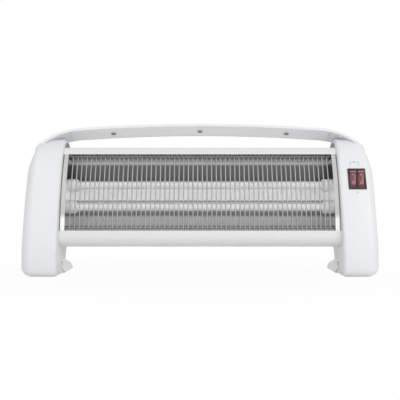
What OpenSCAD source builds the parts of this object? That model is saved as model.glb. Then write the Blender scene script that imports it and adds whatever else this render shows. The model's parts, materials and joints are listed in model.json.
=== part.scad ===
// Electric bar heater: two quartz tubes in a polished reflector behind a wire
// guard, carried between two moulded side housings joined by an arched handle.
// X runs across the heater, Y from front to back and Z up. The origin is on the
// floor, at the centre of the heater's outline.
// Side outlines are written as [depth, height], where depth 0 is the foremost
// point of the side housings.

/* [Side housings] */
// Distance between the inner faces of the two housings
span = 391.4; // [340:0.2:480]
// Width of one housing
housing_w = 50.8; // [44:0.2:64]
// Height of the housings' arched top
housing_h = 195.6; // [186:0.2:206]
// Depth of the flat base of a housing, from its front
base_d = 64; // [58:0.5:70]
// Wall of the mouldings
wall = 2.5; // [1.8:0.1:3.5]
// Radius of the lower front edge
toe_r = 11; // [8:0.5:16]
// Height at which the front face begins to lean back
lean_start = 26; // [20:1:34]
// Radius of the bend at the foot of the front face
bend_r = 90; // [60:1:120]
// Lean of the front face just above that bend
front_lean = 15; // [10:0.5:18]
// Radius of the long front face
front_r = 600; // [480:10:900]
// Radius of the arched top
arch_r = 40; // [34:0.5:46]
// Radius of the rear face
rear_r = 560; // [420:10:900]
// Rounding of the outer edge
outer_round = 16; // [10:0.5:20]
// Rounding of the inner edge
inner_round = 5; // [3:0.5:7]

/* [Handle] */
// Height of the handle's top above the housings' tops
handle_rise = 20.9; // [14:0.1:34]
// Depth of the handle's front edge at its middle
handle_d = 75; // [68:0.5:82]
// Width of the strap from front to back
strap_w = 35; // [28:0.5:40]
// Height of the strap's edges
strap_t = 4; // [3.4:0.1:6]
// Wall of the hollow strap
strap_wall = 2; // [1.6:0.1:2.6]
// How far the strap tips down towards the back
strap_tilt = 19.5; // [14:0.5:24]
// Radius of the long crown
crown_r = 2285; // [1800:5:4000]
// Half length of the crown
crown_half = 178.5; // [165:0.5:184]
// Radius of the shoulders
shoulder_r = 89; // [82:0.5:96]
// Slope at which a shoulder turns into the corner
shoulder_end = 45; // [42:0.5:47]
// Distance of the outer screws from the middle
handle_screw_x = 128; // [100:1:150]

/* [Front frame] */
// Height of the lower edge of the opening
opening_z0 = 63; // [58:0.5:70]
// Distance from the housings' tops down to the upper edge of the opening
opening_drop = 24.6; // [20:0.1:40]
// Radius of the bowed front
bow_r = 250; // [220:5:320]
// Height at which the bowed front stands upright
bow_z = 39; // [30:1:48]
// Depth of the frame at the height where it stands upright
frame_d = 19; // [16:0.5:22]
// Sheet of the rails and side strips
frame_t = 2; // [1.2:0.1:2.4]
// Face width of the side strips
strip_w = 6; // [4:0.25:8]
// Depth of the side strips' webs
strip_depth = 10; // [7:0.5:12]
// Gap between a side strip and the housing beside it
strip_gap = 1.2; // [0.6:0.1:2]
// Height of the underside of the body
body_z = 40; // [36:0.5:46]
// Radius of the lower rail's rolled front
roll_r = 15; // [11:0.5:18]

/* [Wire guard] */
// Number of upright wires
wires = 56; // [20:2:70]
// Pitch of the upright wires
wire_pitch = 6.62; // [5:0.02:8]
// Diameter of the upright wires
wire_d = 1.8; // [1.2:0.1:2.4]
// Diameter of the cross wires
cross_d = 2.2; // [1.6:0.1:2.8]
// Distance of the wires behind the frame's face
wire_back = 5.5; // [4.5:0.1:7]

/* [Heating elements] */
// Distance of the upper tube's centre behind the wires
tube_back1 = 18.3; // [16:0.1:22]
// Distance of the upper tube's centre below the upper edge of the opening
tube_down = 44.7; // [38:0.1:50]
// Distance of the lower tube's centre behind the wires
tube_back0 = 16.7; // [15:0.1:21]
// Distance of the lower tube's centre above the lower edge of the opening
tube_up = 31.8; // [26:0.1:36]
// Outer diameter of a quartz tube
tube_od = 11; // [9:0.2:12.4]
// Wall of a quartz tube
tube_wall = 1.2; // [0.9:0.1:1.6]
// Diameter of a heating coil
coil_od = 6.4; // [4:0.2:7]
// Diameter of a ceramic end cap
cap_od = 18; // [15:0.2:20]
// Distance of the caps' inner ends from the housings
cap_in = 21.5; // [16:0.5:30]
// Length of a ceramic end cap
cap_len = 33; // [30:0.5:38]

/* [Switch] */
// Width of the bezel
bezel_w = 24.8; // [23:0.2:27]
// Length of the bezel
bezel_l = 31.5; // [29:0.5:34]
// Distance of the switch from the housing's inner face
switch_x = 25; // [22:0.5:27]
// Height of the middle of the switch
switch_z = 135; // [115:1:145]
// Width of one rocker
rocker_w = 8.8; // [7:0.1:9.4]
// Length of one rocker
rocker_l = 25; // [22:0.5:26]
// Travel of a rocker in degrees
rocker_travel = 18; // [10:1:22]

/* [Feet and inlet] */
// Depth that the feet reach to
foot_reach = 134; // [124:1:150]
// Width of a foot
foot_w = 29; // [20:0.5:31]
// Height of a foot where it leaves the housing
foot_h = 17.8; // [14:0.2:22]
// Bore of the cord inlet
inlet_bore = 7; // [5:0.5:9]
// Travel of the tip-over plunger
plunger_travel = 3; // [2:0.25:4]

/* [Hidden] */
$fn = 64;

fit = 0.2;                 // clearance between parts that are pushed together
slide_fit = 0.05;          // radial clearance of pins and plungers
eps = 0.01;
half_span = span / 2;
outer_x = half_span + housing_w;
handle_h = housing_h + handle_rise;
opening_z1 = housing_h - opening_drop;

// --- outline of a housing, seen from the side ---
// Centre of the bend at the foot of the front face
bend_c = [bend_r, lean_start];
// Centre of the long front face
front_c = bend_c + (front_r - bend_r) * [cos(front_lean), -sin(front_lean)];
// Centre of the arched top, rolling inside the front face, when lowered by "drop"
function arch_rise(drop) = asin((housing_h - drop - arch_r - front_c.y) / (front_r - arch_r));
function arch_at(drop) =
    front_c + (front_r - arch_r) * [-cos(arch_rise(drop)), sin(arch_rise(drop))];
arch_c = arch_at(0);
// Centre of the rear face: it touches the arch from outside and ends at the base
function rear_at_arch(c) =
    let (to_base = [base_d, 0] - c, gap = norm(to_base),
        along = (pow(rear_r - arch_r, 2) - rear_r * rear_r + gap * gap) / (2 * gap),
        up = sqrt(pow(rear_r - arch_r, 2) - along * along))
    c + (along * to_base + up * [to_base.y, -to_base.x]) / gap;
rear_c = rear_at_arch(arch_c);
depth_all = max(arch_c.x + arch_r, foot_reach);

// Points along an arc of n steps; "first" leaves out a start that is already there
function arc(c, r, a0, a1, n, first = 0) =
    [for (i = [first:n]) let (a = a0 + (a1 - a0) * i / n) c + r * [cos(a), sin(a)]];

// The outline drawn in by "inset" on every side, with its top lowered by "drop";
// it always has the same number of points
function outline(inset, drop = 0) =
    let (tr = max(toe_r - inset, 0.4), tc = max(toe_r, inset + tr),
        rise = arch_rise(drop), ac = arch_at(drop), rc = rear_at_arch(ac),
        lean = atan2(rc.y - ac.y, ac.x - rc.x), rr = rear_r - inset)
    concat(
        arc([tc, tc], tr, 270, 180, 4),
        arc(bend_c, bend_r - inset, 180, 180 - front_lean, 2),
        arc(front_c, front_r - inset, 180 - front_lean, 180 - rise, 6, 1),
        arc(ac, arch_r - inset, 180 - rise - 10, -lean + 10, 10),
        arc(rc, rr, -lean, asin((inset - rc.y) / rr), 5));

// Depth of the front and rear faces at a height
function front_at(z) = front_c.x - sqrt(front_r * front_r - pow(z - front_c.y, 2));
function rear_at(z) = rear_c.x + sqrt(rear_r * rear_r - pow(z - rear_c.y, 2));

// --- leaning frame of the handle ---
crown_drop = crown_r - sqrt(crown_r * crown_r - crown_half * crown_half);
crown_end = asin(crown_half / crown_r);
shoulder_c = [crown_half, -crown_drop] - shoulder_r * [sin(crown_end), cos(crown_end)];
strap_out = outer_x - 8.1;
corner_r = (strap_out - shoulder_c.x - shoulder_r * sin(shoulder_end)) / (1 - sin(shoulder_end));
corner_c = shoulder_c + (shoulder_r - corner_r) * [sin(shoulder_end), cos(shoulder_end)];

// Right half of the handle's outline, drawn in by "t", from the middle to the corner
function strap_line(t) = concat(
    arc([0, -crown_r], crown_r - t, 90, 90 - crown_end, 8),
    arc(shoulder_c, shoulder_r - t, 90 - crown_end - 3, 90 - shoulder_end, 8),
    arc(corner_c, corner_r - t, 90 - shoulder_end - 8, 0, 4));
strap_end = corner_c.y;   // lower end of the strap's legs

function mirrored(p) = [for (i = [len(p) - 1:-1:1]) [-p[i].x, p[i].y]];
function whole_line(t) = concat(mirrored(strap_line(t)), strap_line(t));
function back_to_front(p) = [for (i = [len(p) - 1:-1:0]) p[i]];

// --- bowed front ---
function bow(r, z, c) = [c - sqrt(r * r - pow(z - bow_z, 2)), z];
frame_c = frame_d + bow_r;
wire_c = frame_c + wire_back;
tube_z0 = opening_z0 + tube_up;
tube_z1 = opening_z1 - tube_down;
tube_d0 = bow(bow_r, tube_z0, wire_c).x + tube_back0;
tube_d1 = bow(bow_r, tube_z1, wire_c).x + tube_back1;
frame_out = half_span - strip_gap;
web_in = frame_out - frame_t;
top_z = opening_z1 + 10;            // upper face of the top rail
flange_z = top_z - frame_t;         // underside of the top rail's flange
floor_z = body_z + frame_t;         // upper face of the bottom rail's flange
cover_x = half_span + wall;         // outer face of the inner covers
flare_back = half_span - 8.7;       // reflector's half width at its back
flare = 6.2;                        // how far the reflector's ends open, in degrees
refl_t = 0.8;
refl_back = tube_d1 + 29.5;

// Reflector, from the top rail down to the bottom rail: one trough behind each tube
refl_path = [[frame_d + 46, flange_z - fit], [frame_d + 46, opening_z1], [refl_back - 1.5, tube_z1 + 33.7],
    [refl_back, tube_z1], [tube_d1 + 11.5, (tube_z0 + tube_z1) / 2 - 6.5],
    [refl_back - 2, tube_z0 - 12.8], [tube_d0 + 13.5, opening_z0 + 4.7],
    [frame_d + 12, opening_z0 + 1.8], [frame_d + 12, floor_z]];

// --- helpers ---
// A sheet of thickness t that follows a path, on its right-hand side
function unit(v) = v / norm(v);
function side(v) = [v.y, -v.x];
function band(p, t) = let (n = len(p)) concat(p, [for (i = [n - 1:-1:0])
    let (a = side(unit(p[max(i, 1)] - p[max(i, 1) - 1])),
        b = side(unit(p[min(i, n - 2) + 1] - p[min(i, n - 2)])))
    p[i] + t * (a + b) / (1 + a * b)]);

// Places a [depth, height] outline upright and runs it from x0 to x1
module across(x0, x1) {
    translate([x0, -depth_all / 2, 0])
        rotate([90, 0, 90])
            linear_extrude(x1 - x0)
                children();
}

module right_of(side) {
    if (side > 0) children();
    else mirror([1, 0, 0]) children();
}

// A bar along X, centred on a [depth, height] point
module rod(p, d, x0, x1, sides = $fn) {
    translate([x0, p.x - depth_all / 2, p.y])
        rotate([0, 90, 0])
            cylinder(d = d, h = x1 - x0, $fn = sides);
}

// Turns a [radius, x] outline about the bowed front's axis, between two heights
module bowed(c, r, z0, z1) {
    a0 = asin((z0 - bow_z) / r);
    a1 = asin((z1 - bow_z) / r);
    translate([0, c - depth_all / 2, bow_z])
        multmatrix([[0, 0, -1, 0], [-1, 0, 0, 0], [0, 1, 0, 0], [0, 0, 0, 1]])
            rotate([0, 0, a0])
                rotate_extrude(angle = a1 - a0)
                    children();
}

// Leaning frame: X across, Y along the strap's width, Z square to it
module leaning() {
    translate([0, handle_d - depth_all / 2, handle_h])
        rotate([-strap_tilt, 0, 0])
            children();
}

// Everything below the handle's outer line, drawn in by t, between two widths
module under_strap(t, y0, y1) {
    deep = handle_h * 1.3;
    leaning()
        translate([0, y1, 0])
            rotate([90, 0, 0])
                linear_extrude(y1 - y0)
                    polygon(concat([[-outer_x - 9, -deep]],
                        [[-outer_x - 9, corner_c.y], [-strap_out + t, corner_c.y]], whole_line(t),
                        [[strap_out - t, corner_c.y], [outer_x + 9, corner_c.y]],
                        [[outer_x + 9, -deep]]));
}

// Joins a row of equal rings of points into one closed skin
module loft(rings) {
    n = len(rings[0]);
    m = len(rings);
    polyhedron(
        points = [for (r = rings) each r],
        faces = concat(
            [[for (j = [n - 1:-1:0]) j]],
            [for (i = [0:m - 2], j = [0:n - 1]) let (k = (j + 1) % n)
                [i * n + j, (i + 1) * n + k, (i + 1) * n + j]],
            [for (i = [0:m - 2], j = [0:n - 1]) let (k = (j + 1) % n)
                [i * n + j, i * n + k, (i + 1) * n + k]],
            [[for (j = [0:n - 1]) (m - 1) * n + j]]));
}

function ring(x, inset, drop = 0) =
    [for (p = outline(inset, drop)) [x, p.x - depth_all / 2, p.y]];

// The handle's outer line over a housing, in the leaning frame. Beyond the leg it goes
// on down the sloping shoulder of the housing itself
shoulder_x = shoulder_c.x + shoulder_r * sin(shoulder_end);
function strap_n(x) =
    let (beyond = (x - strap_out) / (outer_x - strap_out))
    beyond > 0 ? corner_c.y - 3 - (17 + 12 * beyond) * beyond
    : x > shoulder_x ? corner_c.y + sqrt(max(0, corner_r * corner_r - pow(x - corner_c.x, 2)))
    : shoulder_c.y + sqrt(shoulder_r * shoulder_r - pow(max(x, crown_half) - shoulder_c.x, 2));

// How far the arched top of a ring is lowered, so that it meets the front edge of the
// handle's leg from below
function drop_outside(x, inset) =
    let (n = strap_n(x), edge = [handle_d + n * sin(strap_tilt), handle_h + n * cos(strap_tilt)],
        r = arch_r - inset, low = max(0, housing_h - inset - edge.y - 5),
        back = min(arch_at(low).x - edge.x, r * 0.9))
    max(0, housing_h - inset - edge.y + 1 - (r - sqrt(r * r - back * back)));

// How far the hollow's top is lowered, to pass under the leg
function drop_hollow(x) =
    let (n = strap_n(min(x + strap_t + wall, strap_out)))
    max(0, housing_h + strap_t + wall - handle_h + tan(strap_tilt) * (arch_c.x - handle_d)
        - n / cos(strap_tilt));

// One skin: round the hollow, over the ledge and seat of the inner cover, then outside
module housing_shell() {
    r = outer_round - wall;
    ledge = inner_round + 4;
    seat = inner_round + 0.8;
    hollow = [for (a = [90:-22.5:22.5]) [outer_x - wall - r * (1 - sin(a)), wall + r * (1 - cos(a))]];
    inner = [for (a = [0:30:90]) [half_span + inner_round * (1 - cos(a)), inner_round * (1 - sin(a))]];
    outer = [for (a = [0:10:90]) [outer_x - outer_round * (1 - sin(a)), outer_round * (1 - cos(a))]];
    loft(concat(
        [for (s = hollow) ring(s.x, s.y, drop_hollow(s.x))],
        [for (x = [outer_x - outer_round - 6, cover_x + wall]) ring(x, wall, drop_hollow(x))],
        [ring(cover_x + wall, ledge), ring(cover_x, ledge), ring(cover_x, seat), ring(half_span, seat)],
        [for (s = inner) ring(s.x, s.y)],
        [for (s = outer) ring(s.x, s.y, drop_outside(s.x, s.y))]));
}

// --- places shared by the parts in a housing ---
cap_p = [[tube_d0, tube_z0], [tube_d1, tube_z1]];
screw_p = [[tube_d0 + 12, tube_z0 - 21], [tube_d1 + 25.5, tube_z1 - 2.3]];
screw_d = 3.2;
head_d = 7;
head_h = 1.6;
boss_d = 8;

// Foot, seen from the side: a wedge-shaped tongue in front and a low toe behind
foot_nose = base_d - 33;
function foot_outline(gap) = [
    [base_d + 0.6 - gap, 0], [foot_reach, 0], [foot_reach, 1.5],
    [foot_reach - 3, 4.6 + gap], [foot_reach - 9, 7.6 + gap],
    [foot_reach - 30, 13.4 + gap], [base_d + 12, foot_h + gap],
    [foot_nose + 22, foot_h + 3.4 + gap], [foot_nose + 12, foot_h + 3.8 + gap],
    [foot_nose + 4, foot_h + 2 + gap], [foot_nose - gap, foot_h - 1.8 + gap],
    [foot_nose - gap, 12.7 - gap]];

// Switch frame: origin on the front face, Y into the housing, Z up the slope
switch_lean = atan2(front_at(switch_z + 1) - front_at(switch_z - 1), 2);
module switch_frame() {
    translate([half_span + switch_x, front_at(switch_z) - depth_all / 2, switch_z])
        rotate([-switch_lean, 0, 0])
            children();
}
seat_depth = 0.6;
bezel_t = 1.8;
can_w = bezel_w - 2;
can_l = bezel_l - 3;
can_depth = 21;
pivot_y = 4.6;
pivot_d = 3;
rib_w = bezel_w - 2 * rocker_w - 4.9;
rocker_dx = rocker_w / 2 + rib_w / 2 + fit;

plunger_d = 6;
plunger_p = [20, 19];      // depth and distance from the inner face
collar_d = 9;

gland_z = 42;
gland_x = half_span + 27;
gland_od = 12;
gland_lean = atan2(rear_at(gland_z + 1) - rear_at(gland_z - 1), 2);
// Inlet frame: origin on the rear face, Z out of the housing
module gland_frame() {
    translate([gland_x, rear_at(gland_z) - depth_all / 2, gland_z])
        rotate([-90 - gland_lean, 0, 0])
            children();
}

// --- side housings ---
// One skin of everything moulded together, left at its own size
module moulded() {
    resize([0, 0, 0])
        children();
}

// Right-hand housing without the holes that differ from side to side
module shell_moulding() {
    moulded()
        difference() {
            housing_shell();
            // groove for the handle's leg
            difference() {
                leaning()
                    translate([half_span - 5, -fit, strap_end - 1])
                        cube([housing_w + 20, strap_w + 2 * fit, handle_h]);
                under_strap(strap_t + fit, -fit - 1, strap_w + fit + 1);
            }
            // pocket for the foot
            across(half_span - 1, half_span + foot_w + fit)
                polygon(foot_outline(fit + 0.1));
        }
}

module side_shell(side) {
    color("white")
    right_of(side)
        difference() {
            shell_moulding();
            // hole for the tip-over plunger on the left
            if (side < 0)
                translate([half_span + plunger_p.y, plunger_p.x - depth_all / 2, -1])
                    cylinder(d = plunger_d + 1, h = wall + 2);
            // hole for the cord inlet on the right
            if (side > 0)
                gland_frame()
                    translate([0, 0, -12])
                        cylinder(d = gland_od + 0.1, h = 20);
            // flat seat and opening for the switch
            if (side > 0)
                switch_frame() {
                    translate([-bezel_w / 2 - fit, -10, -bezel_l / 2 - fit])
                        cube([bezel_w + 2 * fit, 10 + seat_depth + slide_fit, bezel_l + 2 * fit]);
                    translate([-can_w / 2 - fit, -1, -can_l / 2 - fit])
                        cube([can_w + 2 * fit, 12, can_l + 2 * fit]);
                }
        }
}
module side_shell_left() { side_shell(-1); }
module side_shell_right() { side_shell(1); }

module inner_cover() {
    color("gainsboro")
    difference() {
        across(half_span, cover_x)
            polygon(outline(inner_round + 0.8 + fit));
        for (p = cap_p)
            rod(p, cap_od + 0.6, half_span - 1, cover_x + 1);
        for (p = screw_p) {
            rod(p, screw_d + 0.4, half_span - 1, cover_x + 1);
            rod(p, head_d + 0.4, half_span - 1, half_span + head_h);
        }
        across(half_span - 1, cover_x + 1)
            polygon(foot_outline(fit));
    }
}
module inner_cover_left() { mirror([1, 0, 0]) inner_cover(); }
module inner_cover_right() { inner_cover(); }

module cover_screws() {
    color("silver")
    for (p = screw_p)
        difference() {
            union() {
                rod(p, head_d, half_span, half_span + head_h);
                rod(p, screw_d, half_span + head_h - eps, cover_x + 10);
            }
            translate([half_span - 1, p.x - depth_all / 2, p.y])
                rotate([45, 0, 0])
                    for (a = [0, 90])
                        rotate([a, 0, 0])
                            translate([0, -2, -0.4])
                                cube([1.9, 4, 0.8]);
        }
}
module cover_posts() {
    color("ivory")
    for (p = screw_p)
        difference() {
            rod(p, boss_d, cover_x, outer_x - wall);
            rod(p, screw_d + 0.1, cover_x - 1, cover_x + 14);
        }
}
module cover_posts_left() { mirror([1, 0, 0]) cover_posts(); }
module cover_posts_right() { cover_posts(); }

module cover_screws_left() { mirror([1, 0, 0]) cover_screws(); }
module cover_screws_right() { cover_screws(); }

// --- handle ---
// The strap's section between two lines, over part of its width
module strap(t0, t1, y0, y1, reach) {
    leaning()
        intersection() {
            translate([0, y1, 0])
                rotate([90, 0, 0])
                    linear_extrude(y1 - y0)
                        polygon(concat(
                            [[-strap_out + t0, strap_end]], whole_line(t0), [[strap_out - t0, strap_end]],
                            [[strap_out - t1, strap_end]], back_to_front(whole_line(t1)),
                            [[-strap_out + t1, strap_end]]));
            translate([-reach, y0 - 1, -handle_h])
                cube([2 * reach, y1 - y0 + 2, handle_h + 1]);
        }
}
grip_half = half_span - 7;
handle_screw_xs = [-handle_screw_x, 0, handle_screw_x];
module at_handle_screws(t) {
    for (x = handle_screw_xs)
        leaning()
            translate([x, strap_w / 2, -crown_r + sqrt(pow(crown_r, 2) - x * x) - t])
                children();
}

module handle_top() {
    color("white")
    difference() {
        strap(0, strap_t, 0, strap_w, outer_x);
        difference() {
            strap(strap_wall, strap_t + 1, strap_wall, strap_w - strap_wall, grip_half);
            at_handle_screws(strap_t + 1)
                cylinder(d = boss_d, h = strap_t);
        }
        at_handle_screws(strap_t + 1)
            cylinder(d = screw_d + 0.1, h = strap_t - 0.4);
    }
}

module handle_grip() {
    color("gainsboro")
    difference() {
        strap(strap_wall + 0.1, strap_t - 0.3, strap_wall + fit, strap_w - strap_wall - fit,
            grip_half - fit);
        at_handle_screws(strap_t + 1)
            cylinder(d = boss_d + 0.4, h = strap_t);
    }
}

module handle_screws() {
    color("silver")
    at_handle_screws(strap_t + 1 + fit + 0.05)
        difference() {
            union() {
                cylinder(d = head_d, h = 1);
                cylinder(d = screw_d, h = strap_t - 0.8);
            }
            for (a = [45, 135])
                rotate([0, 0, a])
                    translate([-2, -0.4, -1])
                        cube([4, 0.8, 1.5]);
        }
}

// --- front frame ---
rail_end = half_span - eps;
module top_rail() {
    lip = bow(bow_r, opening_z1, frame_c);
    face = lip + [5.4, 10 - 3.4];
    color("whitesmoke")
    across(-rail_end, rail_end)
        polygon(band(concat([lip + [3.4, 0], lip],
            arc(face + [2.8, -0.1], 3.4, 146, 96, 4), [[lip.x + 12, top_z], [lip.x + 38, top_z]]), frame_t));
}

module bottom_rail() {
    lip = bow(bow_r, opening_z0, frame_c) - [4, 0];
    roll = [lip.x - 1.2 + roll_r, body_z + roll_r];
    color("whitesmoke")
    across(-rail_end, rail_end)
        polygon(band(back_to_front(concat([lip + [7.4, 0], lip], arc(roll, roll_r, 176, 270, 10),
            [[roll.x + 30, body_z]])), frame_t));
}

module side_strip() {
    z1 = opening_z1 - eps;
    z0 = opening_z0 + eps;
    color("white")
    difference() {
        bowed(frame_c, bow_r, z0 - 4, z1 + 4)
            polygon([[bow_r, -frame_out], [bow_r, -frame_out + strip_w],
                [bow_r - frame_t, -frame_out + strip_w], [bow_r - frame_t, -web_in],
                [bow_r - strip_depth, -web_in], [bow_r - strip_depth, -frame_out]]);
        translate([0, -depth_all, z1])
            cube([span, 2 * depth_all, 30]);
        translate([0, -depth_all, z0 - 30])
            cube([span, 2 * depth_all, 30]);
    }
}
module side_strip_left() { mirror([1, 0, 0]) side_strip(); }
module side_strip_right() { side_strip(); }

module grille() {
    x0 = (wires - 1) / 2 * wire_pitch;
    hair = 0.02;            // the cross wires lie this close behind the others
    cross_r = bow_r - (wire_d + cross_d) / 2 - hair;
    color("silver")
    union() {
        bowed(wire_c, bow_r, opening_z0 - 5, opening_z1 + 3)
            for (i = [0:wires - 1])
                translate([bow_r, -x0 + i * wire_pitch])
                    circle(d = wire_d);
        for (z = [opening_z0 + 3.3, opening_z1 - 3.2])
            rod(bow(cross_r, z, wire_c), cross_d, -web_in, web_in);
    }
}

// --- body ---
panel_t = 1.2;
module back_panel() {
    low = refl_back - 4;
    high = [refl_back + 24, flange_z];
    flange = [bow(bow_r, opening_z1, frame_c).x + 20, flange_z];
    path = [flange, high, [low, floor_z], [frame_d + 24, floor_z]];
    slope = atan2(high.x - low, high.y - floor_z);
    color("whitesmoke")
    difference() {
        across(-rail_end, rail_end)
            polygon(band(path, panel_t));
        // rows of ventilation slots
        for (h = [0.2:0.15:0.8], x = [-5:5])
            translate([x * 30, low + (high.x - low) * h - depth_all / 2, floor_z + (high.y - floor_z) * h])
                rotate([-slope, 0, 0])
                    translate([-11, -6, -1.5])
                        cube([22, 12, 3]);
    }
}

// Half space beyond one flared end of the reflector
module flared(side) {
    right_of(side)
        translate([flare_back, refl_back - depth_all / 2, 0])
            rotate([0, 0, flare])
                children();
}

module reflector() {
    color("silver")
    difference() {
        across(-web_in + fit, web_in - fit)
            polygon(band(refl_path, -refl_t));
        for (side = [-1, 1])
            flared(side)
                translate([0, -2 * refl_back, -1])
                    cube([60, 4 * refl_back, 2 * handle_h]);
    }
}

module reflector_end(side) {
    front = arc([wire_c, bow_z], bow_r - 6.5, 180 - asin((opening_z0 + 6 - bow_z) / bow_r),
        180 - asin((opening_z1 - 3 - bow_z) / bow_r), 10);
    color("silver")
    difference() {
        flared(side)
            rotate([90, 0, 90])
                linear_extrude(refl_t)
                    polygon([for (p = concat(back_to_front(front),
                        [for (i = [6:-1:2]) refl_path[i]])) [(p.x - refl_back) / cos(flare), p.y]]);
        right_of(side)
            for (p = cap_p)
                rod(p, cap_od + 0.5, flare_back - 5, half_span + 5);
    }
}
module reflector_end_left() { reflector_end(-1); }
module reflector_end_right() { reflector_end(1); }

// --- heating elements ---
cap_x0 = half_span - cap_in;
cap_x1 = cap_x0 + cap_len;
tube_x = cap_x0 + 9;       // tubes reach this far into their caps

module quartz_tube(p) {
    color("white", 0.6)
    difference() {
        rod(p, tube_od, -tube_x, tube_x);
        rod(p, tube_od - 2 * tube_wall, -tube_x - 1, tube_x + 1);
    }
}
module quartz_tube_upper() { quartz_tube(cap_p[1]); }
module quartz_tube_lower() { quartz_tube(cap_p[0]); }

module heating_coil(p) {
    color("dimgray") {
        rod(p, coil_od, -tube_x + 4, tube_x - 4);
        rod(p, 1.6, -cap_x1 - 3, cap_x1 + 3);
    }
}
module heating_coil_upper() { heating_coil(cap_p[1]); }
module heating_coil_lower() { heating_coil(cap_p[0]); }

module ceramic_cap(p, side) {
    color("lightgray")
    right_of(side)
        difference() {
            translate([cap_x0, p.x - depth_all / 2, p.y])
                rotate([0, 90, 0])
                    rotate_extrude()
                        polygon([[0, 0], [cap_od / 2 - 2, 0], [cap_od / 2, 2],
                            [cap_od / 2, cap_len - 4], [cap_od / 2 - 2, cap_len - 3],
                            [cap_od / 2 - 2, cap_len], [0, cap_len]]);
            rod(p, tube_od + 0.1, cap_x0 - 1, tube_x + eps);
            rod(p, 2.4, cap_x0, cap_x1 + 1);
        }
}
module ceramic_cap_upper_left() { ceramic_cap(cap_p[1], -1); }
module ceramic_cap_upper_right() { ceramic_cap(cap_p[1], 1); }
module ceramic_cap_lower_left() { ceramic_cap(cap_p[0], -1); }
module ceramic_cap_lower_right() { ceramic_cap(cap_p[0], 1); }

// Sheet bracket that holds both caps, on two feet against the inner cover
module element_bracket() {
    dir = unit(cap_p[1] - cap_p[0]);
    plate = [cap_p[0] - 18 * dir, cap_p[1] + 18 * dir];
    bx = cover_x + 4;
    color("silver")
    difference() {
        union() {
            across(bx, bx + 1.2)
                polygon([for (s = [[0, -1], [0, 1], [1, 1], [1, -1]])
                    plate[s.x] + s.y * 12 * side(dir)]);
            for (i = [0, 1])
                across(cover_x, bx + eps)
                    polygon([for (s = [[0, -1], [0, 1], [1, 1], [1, -1]])
                        plate[i] + (1 - 2 * i) * s.x * 1.2 * dir + s.y * 12 * side(dir)]);
        }
        for (p = cap_p)
            rod(p, cap_od + 0.3, bx - 1, bx + 3);
    }
}
module element_bracket_left() { mirror([1, 0, 0]) element_bracket(); }
module element_bracket_right() { element_bracket(); }

// --- switch ---
module switch_housing() {
    open_l = rocker_l + 1.9;
    color("dimgray")
    switch_frame()
        difference() {
            union() {
                translate([-bezel_w / 2, seat_depth - bezel_t, -bezel_l / 2])
                    cube([bezel_w, bezel_t, bezel_l]);
                translate([-can_w / 2, seat_depth - eps, -can_l / 2])
                    cube([can_w, can_depth, can_l]);
                for (x = [-5.5, 5.5], z = [-8, 0, 8])
                    translate([x - 2.4, can_depth, z - 0.4])
                        cube([4.8, 8, 0.8]);
            }
            for (s = [-1, 1])
                translate([s * rocker_dx - rocker_w / 2 - fit, -5, -open_l / 2])
                    cube([rocker_w + 2 * fit, 15, open_l]);
            translate([-can_w / 2 - 1, pivot_y, 0])
                rotate([0, 90, 0])
                    cylinder(d = pivot_d + 2 * slide_fit, h = can_w + 2);
        }
}

// Rocker in its OFF place: the lower end pressed in
module rocker(s) {
    color("darkred")
    switch_frame()
        translate([s * rocker_dx, pivot_y, 0])
            rotate([rocker_travel / 2, 0, 0]) {
                rotate([90, 0, 90])
                    linear_extrude(rocker_w, center = true)
                        polygon([[3, -rocker_l * 0.3], [-1, -rocker_l / 2], [-pivot_y - 2.2, -rocker_l / 2],
                            [-pivot_y - 0.9, -rocker_l / 4], [-pivot_y - 0.5, 0],
                            [-pivot_y - 0.9, rocker_l / 4], [-pivot_y - 2.2, rocker_l / 2],
                            [-1, rocker_l / 2], [3, rocker_l * 0.3]]);
                rotate([0, 90, 0])
                    cylinder(d = pivot_d, h = can_w - 2 * rocker_dx - 2 * slide_fit, center = true);
            }
}
module rocker_1() { rocker(-1); }
module rocker_2() { rocker(1); }

// --- feet ---
module foot() {
    color("whitesmoke")
    difference() {
        across(half_span, half_span + foot_w)
            polygon(foot_outline(0));
        // latch window in the tongue
        across(half_span - 1, half_span + 2)
            polygon([for (p = [[7.6, 12], [17.4, 12], [17.4, 18.5], [7.6, 18.5]])
                [foot_nose + p.x, foot_h - 17.8 + p.y]]);
        // toe stepped back a little from the housing's inner face
        across(half_span - 1, half_span + 0.4)
            polygon([[base_d + 10, -1], [foot_reach + 1, -1], [foot_reach + 1, 30], [base_d + 10, 30]]);
    }
}
module foot_left() { mirror([1, 0, 0]) foot(); }
module foot_right() { foot(); }

// --- inlet and inner electrical parts ---
module cord_gland() {
    color("dimgray")
    gland_frame()
        difference() {
            union() {
                translate([0, 0, 0.3])
                    cylinder(d = gland_od + 4, h = 2.5);
                translate([0, 0, -9])
                    cylinder(d = gland_od, h = 9.4);
            }
            translate([0, 0, -10])
                cylinder(d = inlet_bore, h = 20);
        }
}

module terminal_block() {
    block = [22.5, 14, 12];
    color("ivory")
    translate([cover_x + wall + 0.4, 14 - depth_all / 2, wall])
        difference() {
            cube(block);
            for (i = [0:2])
                translate([block.x * (i + 0.5) / 3, block.y / 2, 4])
                    cylinder(d = 4, h = 20);
        }
}

module thermal_cutout() {
    p = [arch_c.x, arch_c.y + 14];
    color("dimgray") {
        rod(p, 16, cover_x, cover_x + 5);
        rod(p, 12, cover_x + 5 - eps, cover_x + 9);
        for (s = [-1, 1])
            translate([cover_x + 9 - eps, p.x + s * 3.5 - 0.4 - depth_all / 2, p.y - 2.4])
                cube([8, 0.8, 4.8]);
    }
}

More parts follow.
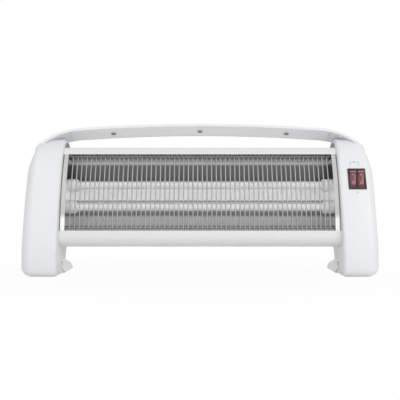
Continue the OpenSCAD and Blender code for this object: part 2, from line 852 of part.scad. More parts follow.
// Guide block of the tip-over switch, standing on the base of the left housing
module tip_switch() {
    h = 24;
    color("ivory")
    mirror([1, 0, 0])
        translate([half_span + plunger_p.y, plunger_p.x - depth_all / 2, wall])
            difference() {
                translate([-9, -7, 0])
                    cube([18, 14, h]);
                translate([0, 0, -1])
                    cylinder(d = plunger_d + 2 * slide_fit, h = h - 3);
                translate([0, 0, -1])
                    cylinder(d = collar_d + 0.4, h = 1 + plunger_travel + 6);
            }
}

module tip_plunger() {
    color("white")
    mirror([1, 0, 0])
        translate([half_span + plunger_p.y, plunger_p.x - depth_all / 2, 0]) {
            cylinder(d = plunger_d, h = wall + 16);
            translate([0, 0, wall + plunger_travel + 0.5])
                cylinder(d = collar_d, h = 2);
        }
}

side_shell_left();
side_shell_right();
inner_cover_left();
inner_cover_right();
cover_screws_left();
cover_screws_right();
cover_posts_left();
cover_posts_right();
handle_top();
handle_grip();
handle_screws();
top_rail();
bottom_rail();
side_strip_left();
side_strip_right();
back_panel();
reflector();
reflector_end_left();
reflector_end_right();
grille();
quartz_tube_upper();
quartz_tube_lower();
heating_coil_upper();
heating_coil_lower();
ceramic_cap_upper_left();
ceramic_cap_upper_right();
ceramic_cap_lower_left();
ceramic_cap_lower_right();
element_bracket_left();
element_bracket_right();
switch_housing();
rocker_1();
rocker_2();
foot_left();
foot_right();
cord_gland();
terminal_block();
thermal_cutout();
tip_switch();
tip_plunger();
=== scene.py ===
import json
import math

import bpy
from mathutils import Matrix, Vector


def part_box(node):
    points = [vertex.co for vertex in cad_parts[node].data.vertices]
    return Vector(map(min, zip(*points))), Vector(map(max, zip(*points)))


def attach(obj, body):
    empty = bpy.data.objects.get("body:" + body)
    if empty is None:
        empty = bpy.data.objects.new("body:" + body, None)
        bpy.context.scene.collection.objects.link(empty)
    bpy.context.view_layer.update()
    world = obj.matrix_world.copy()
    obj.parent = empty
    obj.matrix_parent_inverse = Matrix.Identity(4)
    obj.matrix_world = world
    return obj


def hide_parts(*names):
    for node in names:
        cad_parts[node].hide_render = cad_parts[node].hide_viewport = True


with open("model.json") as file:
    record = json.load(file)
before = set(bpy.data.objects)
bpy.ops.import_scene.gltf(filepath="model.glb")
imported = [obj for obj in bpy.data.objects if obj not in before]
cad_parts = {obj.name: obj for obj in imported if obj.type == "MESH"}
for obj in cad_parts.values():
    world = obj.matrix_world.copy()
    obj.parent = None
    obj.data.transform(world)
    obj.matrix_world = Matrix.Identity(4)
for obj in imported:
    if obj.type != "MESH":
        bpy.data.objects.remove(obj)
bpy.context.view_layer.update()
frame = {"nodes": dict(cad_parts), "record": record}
CAD = frame["nodes"]
bpy.ops.object.select_all(action="DESELECT")

FRONT = -0.067          # Y of the foremost point of the side housings
HALF_SPAN = 0.1957      # X of the housings' inner faces, to either side


# --- effects shared by several finishes ---
EFFECT_OUTPUTS = [("Color", "NodeSocketColor"), ("Roughness", "NodeSocketFloat"),
    ("Normal", "NodeSocketVector")]


def new_group(name, inputs, outputs):
    """An empty shader group with named inputs and outputs."""
    group = bpy.data.node_groups.new(name, "ShaderNodeTree")
    for label, kind, value in inputs:
        socket = group.interface.new_socket(label, in_out="INPUT", socket_type=kind)
        socket.default_value = value
    for label, kind in outputs:
        group.interface.new_socket(label, in_out="OUTPUT", socket_type=kind)
    first = group.nodes.new("NodeGroupInput")
    last = group.nodes.new("NodeGroupOutput")
    return group, first, last


def surface_noise(group, scale, detail):
    """Noise on the piece's own coordinates, at a scale that another socket sets."""
    place = group.nodes.new("ShaderNodeTexCoord")
    noise = group.nodes.new("ShaderNodeTexNoise")
    noise.inputs["Detail"].default_value = detail
    group.links.new(place.outputs["Object"], noise.inputs["Vector"])
    group.links.new(scale, noise.inputs["Scale"])
    return noise


def uneven(group, first, last, patches, relief, gloss_change, relief_height):
    """Darkens and dulls the surface where "patches" is high, and raises it where "relief" is."""
    nodes, links = group.nodes, group.links
    dim = nodes.new("ShaderNodeMath")
    dim.operation = "MULTIPLY"
    links.new(patches, dim.inputs[0])
    links.new(first.outputs["Shade"], dim.inputs[1])
    tone = nodes.new("ShaderNodeMixRGB")
    tone.blend_type = "MULTIPLY"
    tone.inputs["Color2"].default_value = (0.0, 0.0, 0.0, 1.0)
    links.new(dim.outputs[0], tone.inputs["Fac"])
    links.new(first.outputs["Color"], tone.inputs["Color1"])
    gloss = nodes.new("ShaderNodeMath")
    gloss.operation = "MULTIPLY_ADD"
    gloss.inputs[1].default_value = gloss_change
    links.new(patches, gloss.inputs[0])
    links.new(first.outputs["Roughness"], gloss.inputs[2])
    bump = nodes.new("ShaderNodeBump")
    bump.inputs["Distance"].default_value = relief_height
    links.new(first.outputs["Depth"], bump.inputs["Strength"])
    links.new(relief, bump.inputs["Height"])
    links.new(tone.outputs["Color"], last.inputs["Color"])
    links.new(gloss.outputs[0], last.inputs["Roughness"])
    links.new(bump.outputs["Normal"], last.inputs["Normal"])
    return group


def make_grain():
    """Fine moulded or painted grain: a little change of colour, gloss and height."""
    group, first, last = new_group("fine_grain", [
        ("Color", "NodeSocketColor", (0.8, 0.8, 0.8, 1.0)),
        ("Shade", "NodeSocketFloat", 0.04),
        ("Roughness", "NodeSocketFloat", 0.4),
        ("Scale", "NodeSocketFloat", 900.0),
        ("Patches", "NodeSocketFloat", 14.0),
        ("Depth", "NodeSocketFloat", 0.05),
    ], EFFECT_OUTPUTS)
    fine = surface_noise(group, first.outputs["Scale"], 4.0).outputs["Fac"]
    broad = surface_noise(group, first.outputs["Patches"], 2.0).outputs["Fac"]
    return uneven(group, first, last, broad, fine, 0.12, 0.0002)


def make_rolled():
    """Rolling lines that run along X on sheet metal, with soft smudges."""
    group, first, last = new_group("rolled_sheet", [
        ("Color", "NodeSocketColor", (0.6, 0.6, 0.6, 1.0)),
        ("Shade", "NodeSocketFloat", 0.15),
        ("Roughness", "NodeSocketFloat", 0.2),
        ("Depth", "NodeSocketFloat", 0.1),
    ], EFFECT_OUTPUTS)
    place = group.nodes.new("ShaderNodeTexCoord")
    stretch = group.nodes.new("ShaderNodeMapping")
    stretch.inputs["Scale"].default_value = (6.0, 900.0, 900.0)
    noise = group.nodes.new("ShaderNodeTexNoise")
    noise.inputs["Scale"].default_value = 1.0
    noise.inputs["Detail"].default_value = 3.0
    group.links.new(place.outputs["Object"], stretch.inputs["Vector"])
    group.links.new(stretch.outputs["Vector"], noise.inputs["Vector"])
    lines = noise.outputs["Fac"]
    return uneven(group, first, last, lines, lines, 0.14, 0.0001)


def grey(value):
    return (value, value, value)


def height_bands(name, labels, rows):
    """Tones that follow the height on a piece; a row is a height and one tone for each label."""
    group, first, last = new_group(name, [], [(label, "NodeSocketColor") for label in labels])
    nodes, links = group.nodes, group.links
    low, high = rows[0][0], rows[-1][0]
    place = nodes.new("ShaderNodeTexCoord")
    apart = nodes.new("ShaderNodeSeparateXYZ")
    links.new(place.outputs["Object"], apart.inputs[0])
    span = nodes.new("ShaderNodeMapRange")
    span.inputs["From Min"].default_value = low
    span.inputs["From Max"].default_value = high
    links.new(apart.outputs["Z"], span.inputs["Value"])
    for column, label in enumerate(labels, 1):
        ramp = nodes.new("ShaderNodeValToRGB")
        stops = ramp.color_ramp.elements
        while len(stops) < len(rows):
            stops.new(0.5)
        for stop, row in zip(stops, rows):
            stop.position = (row[0] - low) / (high - low)
            stop.color = (*row[column], 1.0)
        links.new(span.outputs["Result"], ramp.inputs["Fac"])
        links.new(ramp.outputs["Color"], last.inputs[label])
    return group


GRAIN = make_grain()
ROLLED = make_rolled()

# Painted reflections, painted shade and painted glow on each bend of the reflector: height, painted
# tone, how much of a mirror it is, painted light it glows with there
REFLECTOR_PAINTED_LIGHT_ROWS = [
    (0.0600, 0.60, 0.5, 0.0),
    (0.0640, 0.60, 0.5, 0.05),
    (0.0665, 0.30, 0.8, 0.0),
    (0.0690, 0.90, 0.2, 0.03),
    (0.0795, 0.92, 0.2, 0.02),
    (0.0840, 0.28, 0.8, 0.0),
    (0.0900, 0.50, 0.7, 0.0),
    (0.1020, 0.90, 0.2, 0.05),
    (0.1035, 0.30, 0.9, 0.0),
    (0.1050, 1.00, 0.0, 0.12),
    (0.1090, 1.00, 0.0, 0.18),
    (0.1170, 1.00, 0.0, 0.13),
    (0.1280, 1.00, 0.0, 0.10),
    (0.1340, 0.15, 1.0, 0.0),
    (0.1555, 0.18, 1.0, 0.0),
    (0.1605, 0.80, 0.5, 0.05),
    (0.1630, 0.80, 0.5, 0.05),
    (0.1660, 0.40, 0.7, 0.0),
    (0.1750, 0.50, 0.7, 0.0),
]
PAINTED_REFLECTOR_LIGHT = height_bands("reflector_painted_light", ["Color", "Metallic", "Emission Color"],
    [(height, grey(tone), grey(mirror), grey(light)) for height, tone, mirror, light in REFLECTOR_PAINTED_LIGHT_ROWS])

# Painted reflection and painted highlight on a rocker: both ends are dark, the lens between them is
# lighter with a painted reflection, and its top edge is pale with a painted highlight
RED_END, RED_PAINTED_REFLECTION = (0.10, 0.008, 0.012), (0.19, 0.032, 0.038)
RED_SHOULDER, RED_PAINTED_HIGHLIGHT = (0.12, 0.012, 0.018), (0.34, 0.11, 0.12)
PAINTED_ROCKER_SHINE = height_bands("rocker_painted_shine", ["Color"], [
    (0.1200, RED_END),
    (0.1255, RED_END),
    (0.1268, RED_PAINTED_REFLECTION),
    (0.1410, RED_PAINTED_REFLECTION),
    (0.1424, RED_END),
    (0.1442, RED_SHOULDER),
    (0.1449, RED_PAINTED_HIGHLIGHT),
    (0.1470, RED_PAINTED_HIGHLIGHT),
])

# Painted shade on the inner faces of the housings: light down at the foot, darker up under the
# handle
SHADED = height_bands("shaded_cover", ["Color"], [
    (0.0, grey(0.80)),
    (0.150, grey(0.80)),
    (0.165, grey(0.20)),
    (0.200, grey(0.18)),
])

# Painted reflection on the strips beside the guard: greyer over most of their height, a painted
# highlight makes the lower end bright
STRIP_PAINTED_SHINE = height_bands("strip_painted_shine", ["Color"], [
    (0.060, grey(0.98)),
    (0.078, grey(0.98)),
    (0.086, grey(0.56)),
    (0.175, grey(0.52)),
])


# --- finishes ---
PLASTIC_IOR = 1.49
PAINT_GRAIN = 1600.0                    # scale of the grain in paint, finer than in plastic
HOUSING_TONE = (0.78, 0.79, 0.80)


def finish_of(name, group, settings, shader):
    """A material: one shared effect feeds its Principled shader."""
    mat = bpy.data.materials.new(name)
    mat.use_nodes = True
    nodes, links = mat.node_tree.nodes, mat.node_tree.links
    surface = nodes["Principled BSDF"]
    effect = nodes.new("ShaderNodeGroup")
    effect.node_tree = group
    for label, value in settings.items():
        effect.inputs[label].default_value = value
    for label in ("Color", "Roughness", "Normal"):
        aim = "Base Color" if label == "Color" else label
        links.new(effect.outputs[label], surface.inputs[aim])
    for label, value in shader.items():
        surface.inputs[label].default_value = value
    return mat


def plastic(name, tone, rough, shade=0.04, depth=0.05, scale=900.0, coat=0.0):
    return finish_of(name, GRAIN,
        {"Color": (*tone, 1.0), "Shade": shade, "Roughness": rough, "Scale": scale, "Depth": depth},
        {"Coat Weight": coat, "IOR": PLASTIC_IOR})


def sheet_metal(name, tone, rough, shade=0.15, depth=0.1):
    return finish_of(name, ROLLED,
        {"Color": (*tone, 1.0), "Shade": shade, "Roughness": rough, "Depth": depth},
        {"Metallic": 1.0})


def banded(mat, bands):
    """Lets a finish follow the height on its piece."""
    tree = mat.node_tree
    effect = next(node for node in tree.nodes if node.type == "GROUP")
    surface = tree.nodes["Principled BSDF"]
    source = tree.nodes.new("ShaderNodeGroup")
    source.node_tree = bands
    for output in source.outputs:
        aim = effect if output.name == "Color" else surface
        tree.links.new(output, aim.inputs[output.name])
    # A band table with an Emission Color makes the surface glow with painted light
    if "Emission Color" in source.outputs:
        surface.inputs["Emission Strength"].default_value = 1.0
    return mat


MATS = {
    "shell_plastic": plastic("shell_plastic", HOUSING_TONE, 0.32),
    "cover_plastic": banded(plastic("cover_plastic", grey(0.8), 0.42), SHADED),
    "handle_plastic": plastic("handle_plastic", HOUSING_TONE, 0.32),
    "grip_plastic": plastic("grip_plastic", (0.86, 0.865, 0.87), 0.42, depth=0.12),
    "post_plastic": plastic("post_plastic", (0.66, 0.64, 0.58), 0.5),
    "rail_paint": plastic("rail_paint", (0.75, 0.755, 0.76), 0.28, depth=0.08, scale=PAINT_GRAIN),
    "strip_paint": banded(plastic("strip_paint", grey(0.8), 0.22, scale=PAINT_GRAIN), STRIP_PAINTED_SHINE),
    "panel_paint": plastic("panel_paint", (0.74, 0.745, 0.75), 0.36, depth=0.1, scale=PAINT_GRAIN),
    "foot_plastic": plastic("foot_plastic", (0.90, 0.91, 0.91), 0.34),
    "plunger_plastic": plastic("plunger_plastic", (0.75, 0.75, 0.73), 0.4),
    "switch_black": plastic("switch_black", grey(0.012), 0.36, depth=0.1),
    "cutout_black": plastic("cutout_black", (0.02, 0.019, 0.018), 0.3),
    "gland_rubber": plastic("gland_rubber", grey(0.02), 0.62, depth=0.15),
    "rocker_red": banded(plastic("rocker_red", grey(0.2), 0.14, depth=0.02, coat=0.6), PAINTED_ROCKER_SHINE),
    "mark_white": plastic("mark_white", (0.60, 0.42, 0.43), 0.4, depth=0.0),
    # Dark grey of painted shade, for the feet's seam strips and the latches in their windows
    "seam_shade": plastic("seam_shade", grey(0.24), 0.6, depth=0.1),
    "print_grey": plastic("print_grey", (0.16, 0.16, 0.165), 0.5, depth=0.0),
    "ceramic_grey": plastic("ceramic_grey", grey(0.96), 0.5, shade=0.06, depth=0.2, scale=1400.0),
    "reflector_metal": banded(
        sheet_metal("reflector_metal", grey(0.6), 0.24, shade=0.12, depth=0.04), PAINTED_REFLECTOR_LIGHT),
    "guard_wire": sheet_metal("guard_wire", (0.39, 0.39, 0.40), 0.34, depth=0.03),
    "screw_steel": sheet_metal("screw_steel", grey(0.34), 0.3),
    "bracket_steel": sheet_metal("bracket_steel", grey(0.58), 0.34),
    "coil_wire": sheet_metal("coil_wire", (0.34, 0.32, 0.30), 0.42),
    "quartz": plastic("quartz", (0.95, 0.95, 0.955), 0.12, shade=0.0, coat=0.6),
}

SLOT_OF = {part["node"]: part["material_slot"] for part in frame["record"]["subparts"]}
for node, slot_name in SLOT_OF.items():
    for slot in CAD[node].material_slots:
        slot.material = MATS[slot_name]


# --- pieces ---
WELD_GAP = 0.000002                     # points nearer than this are one
FLAT = math.radians(0.5)                # facets that turn less than this are one face
MOULDED = ["side_shell_left", "side_shell_right", "handle_top", "handle_grip",
    "inner_cover_left", "inner_cover_right", "foot_left", "foot_right"]
PRESSED = ["top_rail", "bottom_rail", "side_strip_left", "side_strip_right",
    "reflector", "reflector_end_left", "reflector_end_right"]


def only(obj):
    """Makes obj the one selected and active object."""
    bpy.ops.object.select_all(action="DESELECT")
    obj.select_set(True)
    bpy.context.view_layer.objects.active = obj


def settled(obj):
    """Puts an object's place, turn and size into its mesh."""
    only(obj)
    bpy.ops.object.transform_apply(location=True, rotation=True, scale=True)
    return obj


def joined(pieces):
    """One object of several, kept under the first one's name."""
    only(pieces[0])
    for piece in pieces:
        piece.select_set(True)
    bpy.ops.object.join()
    return pieces[0]


def finished(obj, name, finish, body="heater"):
    """Names a piece, gives it its finish and joins it to a body."""
    settled(obj)
    obj.name = name
    obj.data.materials.clear()
    obj.data.materials.append(MATS[finish])
    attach(obj, body)
    return obj


def use_modifiers(obj):
    only(obj)
    for modifier in list(obj.modifiers):
        bpy.ops.object.modifier_apply(modifier=modifier.name)


def rounded(obj, width, segments=2, angle=35.0):
    """Small even rounding on every edge sharper than the angle."""
    bevel = obj.modifiers.new("edges", "BEVEL")
    bevel.width = width
    bevel.segments = segments
    bevel.limit_method = "ANGLE"
    bevel.angle_limit = math.radians(angle)
    bevel.harden_normals = False
    use_modifiers(obj)


def smooth(obj, angle=30.0):
    only(obj)
    bpy.ops.object.shade_smooth_by_angle(angle=math.radians(angle))


def smooth_copy(node, edge=0.0):
    """A CAD node's own surface with its facets merged and shaded round."""
    obj = bpy.data.objects.new(node + "_smooth", CAD[node].data.copy())
    bpy.context.scene.collection.objects.link(obj)
    only(obj)
    bpy.ops.object.mode_set(mode="EDIT")
    bpy.ops.mesh.select_all(action="SELECT")
    bpy.ops.mesh.remove_doubles(threshold=WELD_GAP)
    bpy.ops.mesh.dissolve_limited(angle_limit=FLAT)
    bpy.ops.mesh.customdata_custom_splitnormals_clear()
    bpy.ops.object.mode_set(mode="OBJECT")
    if edge:
        rounded(obj, edge)
    smooth(obj)
    finished(obj, node + "_smooth", SLOT_OF[node])
    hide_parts(node)


for node in MOULDED + PRESSED:
    smooth_copy(node)


# --- heating coils ---
COIL_TURNS, COIL_PITCH = 118, 0.00312
COIL_RADIUS, COIL_WIRE = 0.0028, 0.00042
COIL_START = 0.184                      # the winding begins this far from the middle
LEAD_RADIUS, LEAD_LENGTH = 0.0008, 0.0265
LEAD_MIDDLE = 0.0131                    # from the winding's start to the middle of a lead


def heating_helix(which):
    """Wound resistance wire between two straight leads, all on one line along X."""
    low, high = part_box("heating_coil_" + which)
    bpy.ops.mesh.primitive_circle_add(vertices=6, radius=COIL_WIRE,
        location=(-COIL_START, 0.0, COIL_RADIUS), rotation=(math.pi / 2, 0.0, 0.0))
    wire = settled(bpy.context.active_object)
    screw = wire.modifiers.new("winding", "SCREW")
    screw.axis = "X"
    screw.steps = 12
    screw.render_steps = 12
    screw.iterations = COIL_TURNS
    screw.screw_offset = COIL_PITCH
    screw.use_merge_vertices = False
    use_modifiers(wire)
    leads = []
    for side in (-1, 1):
        bpy.ops.mesh.primitive_cylinder_add(vertices=16, radius=LEAD_RADIUS, depth=LEAD_LENGTH,
            location=(side * (COIL_START + LEAD_MIDDLE), 0.0, 0.0), rotation=(0.0, math.pi / 2, 0.0))
        leads.append(bpy.context.active_object)
    joined([wire] + leads)
    wire.location = (0.0, (low[1] + high[1]) / 2, (low[2] + high[2]) / 2)
    smooth(wire, 40.0)
    finished(wire, "heating_helix_" + which, "coil_wire")
    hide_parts("heating_coil_" + which)


heating_helix("upper")
heating_helix("lower")


# --- twin rocker switch ---
SWITCH_LEAN = math.radians(23.682)      # the housing's front leans back by this at the switch
ROCKER_OFF = math.radians(9.0)          # half of the travel, lower end pressed in
ROCKER_W, ROCKER_L = 0.0088, 0.025
FACE_MIDDLE = -0.0051                   # the face's middle, from the pivot towards the front
FACE_DISH = 0.0017                      # its ends stand this much further forward
FACE_STEPS = 20
KEY_BACK, KEY_SIDE = 0.003, -0.001      # flat back of a rocker, and where its slanted backs begin
PIN_RADIUS, PIN_LENGTH = 0.0015, 0.0108
BAR_Z, RING_Z = 0.0068, -0.0050         # places of the marks along a rocker
BAR_SIZE = (0.0007, 0.00012, 0.0030)
RING_RADIUS, RING_LINE = 0.0016, 0.00025
RING_FLAT = 0.35                        # the ring is flattened to this share of its thickness
MARK_PROUD = 0.00004                    # middle of a mark in front of the face
PIVOTS = {joint["child"]: Vector(joint["pos_m"]) for joint in frame["record"]["behaviour"]["joints"]
    if joint["child"].startswith("rocker")}


def on_rocker(body, y=0.0, z=0.0, tip=0.0):
    """Matrix of a place on a rocker, y and z from its pivot and in its own lean."""
    lean = Matrix.Rotation(ROCKER_OFF - SWITCH_LEAN, 4, "X")
    place = Matrix.Translation(PIVOTS[body]) @ lean @ Matrix.Translation((0.0, y, z))
    return place @ Matrix.Rotation(tip, 4, "X")


def dish(z):
    """Y of the rocker's hollow face at a distance along it."""
    return FACE_MIDDLE - FACE_DISH * (2 * z / ROCKER_L) ** 2


def dish_slope(z):
    return math.atan(FACE_DISH * 8 * z / ROCKER_L ** 2)


def extruded(name, outline, width):
    """An outline of (Y, Z) points drawn out along X, centred."""
    mesh = bpy.data.meshes.new(name)
    mesh.from_pydata([(-width / 2, y, z) for y, z in outline], [], [list(range(len(outline)))])
    obj = bpy.data.objects.new(name, mesh)
    bpy.context.scene.collection.objects.link(obj)
    only(obj)
    bpy.ops.object.mode_set(mode="EDIT")
    bpy.ops.mesh.select_all(action="SELECT")
    bpy.ops.mesh.extrude_region_move(TRANSFORM_OT_translate={"value": (width, 0.0, 0.0)})
    bpy.ops.mesh.select_all(action="SELECT")
    bpy.ops.mesh.normals_make_consistent(inside=False)
    bpy.ops.object.mode_set(mode="OBJECT")
    return obj


def rocker(body):
    """A rocker with its dished face, its slanted backs and the pin it turns on."""
    half = ROCKER_L / 2
    steps = [ROCKER_L * (i / FACE_STEPS - 0.5) for i in range(FACE_STEPS + 1)]
    face = [(dish(z), z) for z in steps]
    back = [(KEY_SIDE, half), (KEY_BACK, 0.6 * half), (KEY_BACK, -0.6 * half), (KEY_SIDE, -half)]
    key = extruded(body + "_key", face + back, ROCKER_W)
    rounded(key, 0.0006, 3, 40.0)
    smooth(key, 40.0)
    bpy.ops.mesh.primitive_cylinder_add(vertices=24, radius=PIN_RADIUS, depth=PIN_LENGTH,
        rotation=(0.0, math.pi / 2, 0.0))
    pin = bpy.context.active_object
    smooth(pin)
    joined([key, pin])
    key.matrix_world = on_rocker(body)
    finished(key, body + "_key", "rocker_red", body)
    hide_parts(body)


def rocker_marks(body):
    """Plain on and off marks: a bar on the upper half, a ring on the lower half."""
    bpy.ops.mesh.primitive_cube_add(size=1.0)
    bar = bpy.context.active_object
    bar.scale = BAR_SIZE
    bpy.ops.object.transform_apply(location=False, rotation=False, scale=True)
    bar.matrix_world = on_rocker(body, dish(BAR_Z) - MARK_PROUD, BAR_Z, dish_slope(BAR_Z))
    finished(bar, body + "_on_mark", "mark_white", body)
    bpy.ops.mesh.primitive_torus_add(major_radius=RING_RADIUS, minor_radius=RING_LINE,
        major_segments=40, minor_segments=8, rotation=(math.pi / 2, 0.0, 0.0))
    ring = bpy.context.active_object
    ring.scale = (1.0, 1.0, RING_FLAT)
    bpy.ops.object.transform_apply(location=False, rotation=True, scale=True)
    ring.matrix_world = on_rocker(body, dish(RING_Z) - MARK_PROUD, RING_Z, dish_slope(RING_Z))
    smooth(ring, 60.0)
    finished(ring, body + "_off_mark", "mark_white", body)


for body in PIVOTS:
    rocker(body)
    rocker_marks(body)
smooth_copy("switch_housing", edge=0.0004)


# --- feet ---
SEAM_WIDTH, SEAM_PROUD = 0.0008, 0.00005
# Front edge of a foot's tongue as (Y, Z), from the floor up to its nose
FOOT_EDGE = [(-0.0024, 0.0006), (-0.0360, 0.0127), (-0.0360, 0.0160), (-0.0348, 0.0190)]
LATCH_PLACE = (-0.0235, 0.01525)        # middle of the latch window as (Y, Z)
LATCH_SIZE = (0.0004, 0.0094, 0.0061)
LATCH_DEEP = 0.0016                     # the latch lies this far inside its window


def plate(place, size, lean=0.0):
    """A thin plate that faces along X."""
    bpy.ops.mesh.primitive_cube_add(size=1.0, location=place, rotation=(lean, 0.0, 0.0))
    obj = bpy.context.active_object
    obj.scale = size
    return settled(obj)


def foot_details(side, name):
    """A dark strip of painted shadow along a foot's front edge, and the latch that shows in its
    window, made dark with painted shade.
    """
    runs = []
    for (y0, z0), (y1, z1) in zip(FOOT_EDGE, FOOT_EDGE[1:]):
        middle = (side * HALF_SPAN, (y0 + y1) / 2, (z0 + z1) / 2)
        length = math.hypot(y1 - y0, z1 - z0) + SEAM_WIDTH / 2
        slope = math.atan2(z1 - z0, y1 - y0)
        runs.append(plate(middle, (2 * SEAM_PROUD, length, SEAM_WIDTH), slope))
    finished(joined(runs), "foot_seam_shadow_" + name, "seam_shade")
    latch = plate((side * (HALF_SPAN + LATCH_DEEP), *LATCH_PLACE), LATCH_SIZE)
    rounded(latch, 0.00015)
    finished(latch, "foot_latch_" + name, "seam_shade")


foot_details(-1, "left")
foot_details(1, "right")


# --- printed marks by the switch ---
BRACKET_X = (0.2130, 0.2190, 0.2250)    # left leg, mark over the bracket, right leg
BRACKET_TOP, BRACKET_FOOT = 0.1590, 0.1540
DASH = (0.2200, 0.1162)                 # middle of the dash as (X, Z)
DASH_HALF, DASH_LINE = 0.0008, 0.0009
MARK_LIFT = 0.0012                      # the mark stands this much over the bracket
PRINT_LINE = 0.00045
PRINT_STEP = 0.0006                     # a line is cut this fine, to follow the housing
PRINT_PROUD = 0.00005
IN_FRONT = 0.01                         # where a line starts, before it is laid on


def printed_line(start, end, width):
    """A thin printed line between two (X, Z) places, still in front of the right housing."""
    run = Vector((end[0] - start[0], 0.0, end[1] - start[1]))
    bpy.ops.mesh.primitive_grid_add(x_subdivisions=max(2, round(run.length / PRINT_STEP)),
        y_subdivisions=2, size=1.0, rotation=(math.pi / 2, 0.0, 0.0))
    line = bpy.context.active_object
    line.scale = (run.length, width, 1.0)
    bpy.ops.object.transform_apply(location=False, rotation=True, scale=True)
    line.rotation_euler = (0.0, -math.atan2(run.z, run.x), 0.0)
    line.location = ((start[0] + end[0]) / 2, FRONT - IN_FRONT, (start[1] + end[1]) / 2)
    return settled(line)


def printed_dash(x, z):
    return printed_line((x - DASH_HALF, z), (x + DASH_HALF, z), DASH_LINE)


def printed_marks():
    """A bracket over the two rockers with a mark on it, and a small dash under them."""
    left, middle, right = BRACKET_X
    marks = joined([
        printed_line((left, BRACKET_TOP), (right, BRACKET_TOP), PRINT_LINE),
        printed_line((left, BRACKET_FOOT), (left, BRACKET_TOP), PRINT_LINE),
        printed_line((right, BRACKET_FOOT), (right, BRACKET_TOP), PRINT_LINE),
        printed_dash(middle, BRACKET_TOP + MARK_LIFT),
        printed_dash(*DASH),
    ])
    wrap = marks.modifiers.new("laid_on", "SHRINKWRAP")
    wrap.wrap_method = "PROJECT"
    wrap.use_project_y = True
    wrap.use_negative_direction = False
    wrap.use_positive_direction = True
    wrap.target = bpy.data.objects["side_shell_right_smooth"]
    wrap.offset = PRINT_PROUD
    use_modifiers(marks)
    finished(marks, "switch_print", "print_grey")


printed_marks()


# --- camera, light and floor ---
FOCAL_PIXELS, PICTURE_PIXELS = 735, 400
SENSOR = 36.0
CAMERA_AWAY, CAMERA_Z = 1.0, 0.111      # distance from the foremost point, height
ROOM_LIGHT, SIDE_LIGHT = 0.73, 0.30     # soft light from all round, less from both sides
SIDE_FROM, SIDE_TO = 0.3, 0.9           # where it goes from one to the other, as X of a direction
FLOOR_TONE = 0.86
FADE_FROM, FADE_TO = 0.1, 0.5           # the floor turns into plain white over these distances
FLOOR_WHITE = 0.9                       # how white it already is under the object
WHITE = (1.0, 1.0, 1.0, 1.0)
# Name, place, aim, size, power in watts, whether it shows in mirrors
LAMPS = [
    ("key", (-0.9, -1.5, 1.7), (0.0, 0.0, 0.1), (1.6, 1.2), 8.5, True),
    ("front", (0.0, -1.7, 0.12), (0.0, 0.0, 0.13), (1.6, 0.5), 6.0, False),
    ("fill", (1.3, -1.2, 0.9), (0.0, 0.0, 0.1), (1.4, 1.2), 9.0, True),
    ("back", (0.3, 1.5, 1.5), (0.0, 0.0, 0.1), (1.6, 1.0), 12.0, True),
]


def area_lamp(name, place, aim, size, power, mirrored):
    lamp = bpy.data.lights.new(name, "AREA")
    lamp.shape = "RECTANGLE"
    lamp.size, lamp.size_y = size
    lamp.energy = power
    holder = bpy.data.objects.new(name, lamp)
    bpy.context.scene.collection.objects.link(holder)
    holder.location = place
    holder.rotation_mode = "QUATERNION"
    holder.rotation_quaternion = (Vector(aim) - Vector(place)).to_track_quat("-Z", "Y")
    holder.visible_glossy = mirrored


def show_background(tree, lit, shown):
    """Camera, mirror and see-through rays meet "shown", and all other rays "lit"."""
    rays = tree.nodes.new("ShaderNodeLightPath")
    seen = tree.nodes.new("ShaderNodeMath")
    seen.operation = "MAXIMUM"
    tree.links.new(rays.outputs["Is Camera Ray"], seen.inputs[0])
    tree.links.new(rays.outputs["Is Glossy Ray"], seen.inputs[1])
    through = tree.nodes.new("ShaderNodeMath")
    through.operation = "MAXIMUM"
    tree.links.new(seen.outputs[0], through.inputs[0])
    tree.links.new(rays.outputs["Is Transmission Ray"], through.inputs[1])
    mix = tree.nodes.new("ShaderNodeMixShader")
    tree.links.new(through.outputs[0], mix.inputs["Fac"])
    tree.links.new(lit, mix.inputs[1])
    tree.links.new(shown, mix.inputs[2])
    return mix.outputs[0]


def add_camera(scene):
    camera = bpy.data.cameras.new("camera")
    camera.sensor_width = SENSOR
    camera.lens = SENSOR * FOCAL_PIXELS / PICTURE_PIXELS
    camera.shift_y = -0.01
    holder = bpy.data.objects.new("camera", camera)
    scene.collection.objects.link(holder)
    holder.location = (0.0, FRONT - CAMERA_AWAY, CAMERA_Z)
    holder.rotation_euler = (math.pi / 2, 0.0, 0.0)
    scene.camera = holder


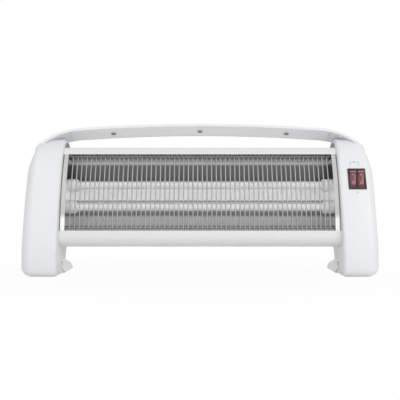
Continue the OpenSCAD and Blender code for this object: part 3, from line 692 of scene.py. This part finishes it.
def light_room(scene):
    """A white surround that gives a little less light from both sides."""
    world = bpy.data.worlds.new("studio")
    world.use_nodes = True
    scene.world = world
    tree = world.node_tree
    lit = tree.nodes["Background"]
    lit.inputs["Color"].default_value = WHITE
    place = tree.nodes.new("ShaderNodeTexCoord")
    apart = tree.nodes.new("ShaderNodeSeparateXYZ")
    tree.links.new(place.outputs["Generated"], apart.inputs[0])
    aside = tree.nodes.new("ShaderNodeMath")
    aside.operation = "ABSOLUTE"
    tree.links.new(apart.outputs["X"], aside.inputs[0])
    level = tree.nodes.new("ShaderNodeMapRange")
    level.inputs["From Min"].default_value = SIDE_FROM
    level.inputs["From Max"].default_value = SIDE_TO
    level.inputs["To Min"].default_value = ROOM_LIGHT
    level.inputs["To Max"].default_value = SIDE_LIGHT
    tree.links.new(aside.outputs[0], level.inputs["Value"])
    tree.links.new(level.outputs["Result"], lit.inputs["Strength"])
    shown = tree.nodes.new("ShaderNodeBackground")
    shown.inputs["Color"].default_value = WHITE
    out = tree.nodes["World Output"]
    tree.links.new(show_background(tree, lit.outputs[0], shown.outputs[0]), out.inputs["Surface"])


def floor_paper():
    """Matt paper that takes the object's shadow and turns into the white background."""
    paper = bpy.data.materials.new("floor_paper")
    paper.use_nodes = True
    tree = paper.node_tree
    matt = tree.nodes["Principled BSDF"]
    matt.inputs["Base Color"].default_value = (*grey(FLOOR_TONE), 1.0)
    matt.inputs["Roughness"].default_value = 0.9
    matt.inputs["Specular IOR Level"].default_value = 0.1
    glow = tree.nodes.new("ShaderNodeEmission")
    glow.inputs["Strength"].default_value = 1.0
    place = tree.nodes.new("ShaderNodeTexCoord")
    away = tree.nodes.new("ShaderNodeVectorMath")
    away.operation = "LENGTH"
    tree.links.new(place.outputs["Object"], away.inputs[0])
    fade = tree.nodes.new("ShaderNodeMapRange")
    fade.interpolation_type = "SMOOTHSTEP"
    fade.inputs["From Min"].default_value = FADE_FROM
    fade.inputs["From Max"].default_value = FADE_TO
    fade.inputs["To Min"].default_value = FLOOR_WHITE
    tree.links.new(away.outputs["Value"], fade.inputs["Value"])
    both = tree.nodes.new("ShaderNodeMixShader")
    tree.links.new(fade.outputs["Result"], both.inputs["Fac"])
    tree.links.new(matt.outputs[0], both.inputs[1])
    tree.links.new(glow.outputs[0], both.inputs[2])
    out = tree.nodes["Material Output"]
    tree.links.new(show_background(tree, matt.outputs[0], both.outputs[0]), out.inputs["Surface"])
    return paper


def lay_floor():
    bpy.ops.mesh.primitive_plane_add(size=12.0, location=(0.0, 0.0, 0.0))
    floor = bpy.context.active_object
    floor.name = "studio_floor"
    floor.data.materials.append(floor_paper())


bpy.context.scene.view_settings.view_transform = "Standard"
add_camera(bpy.context.scene)
light_room(bpy.context.scene)
lay_floor()
for lamp in LAMPS:
    area_lamp(*lamp)
